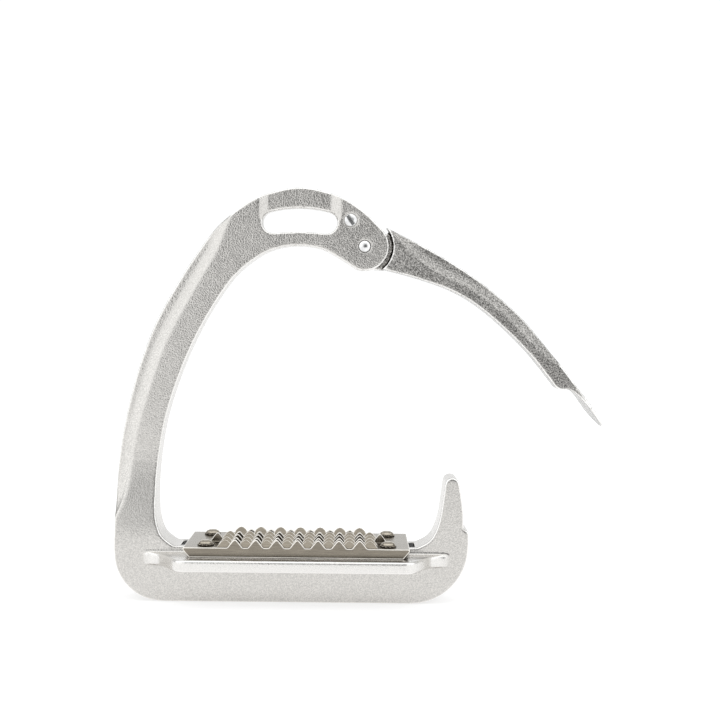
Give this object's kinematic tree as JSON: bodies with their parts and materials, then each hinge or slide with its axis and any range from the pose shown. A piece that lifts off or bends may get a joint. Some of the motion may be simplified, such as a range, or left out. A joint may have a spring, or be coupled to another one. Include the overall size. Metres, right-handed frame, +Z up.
{
  "type": "stirrup iron",
  "caption": "Safety stirrup iron: cast frame with a strap slot in the crown, a toothed metal tread on a platform, and an outer branch that swings open on a hinge.",
  "frame": {"origin": "middle of the flat underside of the base", "axes": "+X towards the hinged branch, +Y from the front face to the back, +Z up"},
  "size_m": [0.2059, 0.0526, 0.1748],
  "materials": {
    "cast_aluminium": "fine blasted casting",
    "branch_aluminium": "fine blasted casting, a little darker",
    "polished_steel": "polished",
    "stainless_sheet": "brushed sheet with bright cut edges",
    "spring_steel": "plain rolled",
    "bronze": "satin",
    "black_rubber": "matte moulded"
  },
  "bodies": {
    "frame": {"frame": "cast_aluminium", "pivot_pin": "polished_steel", "pivot_nut": "polished_steel", "pivot_washer_front": "bronze", "pivot_washer_back": "bronze", "detent_screw": "polished_steel", "detent_spring": "spring_steel", "tread_plate": "stainless_sheet", "tread_pad": "black_rubber", "lock_washer_1": "stainless_sheet", "lock_washer_2": "stainless_sheet", "lock_washer_3": "stainless_sheet", "lock_washer_4": "stainless_sheet", "tread_screw_1": "polished_steel", "tread_screw_2": "polished_steel", "tread_screw_3": "polished_steel", "tread_screw_4": "polished_steel"},
    "branch": {"outer_branch": "branch_aluminium", "pivot_bush": "bronze"}
  },
  "joints": [
    {"name": "branch_pivot", "type": "hinge", "parent": "frame", "child": "branch", "pos_m": [0.0295, 0, 0.1499], "axis": [0, 1, 0], "range_deg": [0, 33]}
  ]
}
